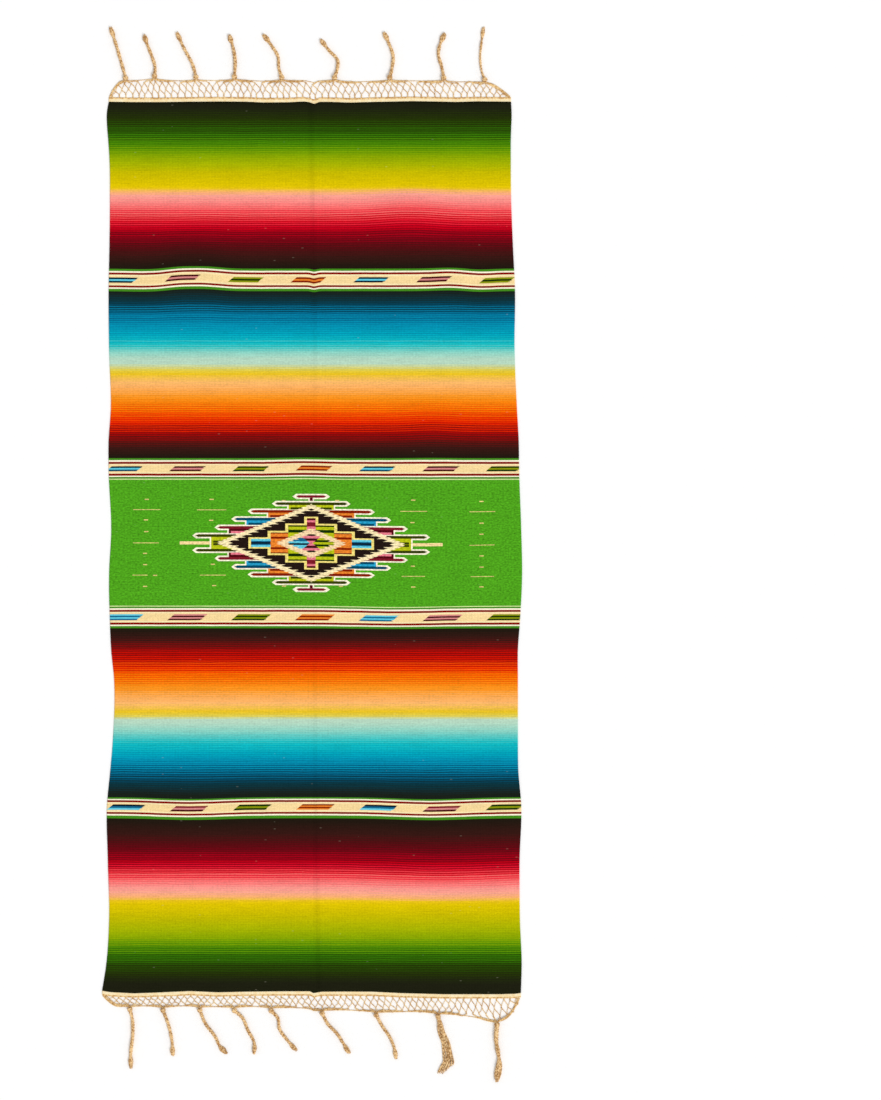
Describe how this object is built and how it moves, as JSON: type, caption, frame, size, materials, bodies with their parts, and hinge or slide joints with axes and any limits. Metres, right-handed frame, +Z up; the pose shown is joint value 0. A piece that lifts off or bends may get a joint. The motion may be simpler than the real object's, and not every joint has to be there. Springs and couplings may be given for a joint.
{
  "type": "mexican serape laid flat",
  "caption": "Flat tapestry-woven wool blanket with rainbow shaded stripes, a stepped centre diamond, and knotted net fringe with twisted tassels at both ends.",
  "frame": {"origin": "on the surface that the serape lies on, under the middle of the blanket with its fringe", "axes": "+Z up out of the face, +Y along the length towards the end with the straight net, +X across the width"},
  "size_m": [1.0038, 2.5237, 0.0151],
  "materials": {
    "wool_cloth": "matt tapestry-woven wool in shaded dye stripes",
    "cotton_heading": "matt undyed cotton, plain woven",
    "cotton_fringe": "matt undyed cotton, knotted and twisted"
  },
  "bodies": {
    "root": {"cloth": "wool_cloth", "heading_top": "cotton_heading", "heading_bottom": "cotton_heading", "net_top": "cotton_fringe", "net_bottom": "cotton_fringe", "tassel_top_1": "cotton_fringe", "tassel_top_2": "cotton_fringe", "tassel_top_3": "cotton_fringe", "tassel_top_4": "cotton_fringe", "tassel_top_5": "cotton_fringe", "tassel_top_6": "cotton_fringe", "tassel_top_7": "cotton_fringe", "tassel_top_8": "cotton_fringe", "tassel_top_9": "cotton_fringe", "tassel_bottom_1": "cotton_fringe", "tassel_bottom_2": "cotton_fringe", "tassel_bottom_3": "cotton_fringe", "tassel_bottom_4": "cotton_fringe", "tassel_bottom_5": "cotton_fringe", "tassel_bottom_6": "cotton_fringe", "tassel_bottom_7": "cotton_fringe", "tassel_bottom_loose": "cotton_fringe", "tassel_bottom_8": "cotton_fringe"}
  },
  "joints": []
}
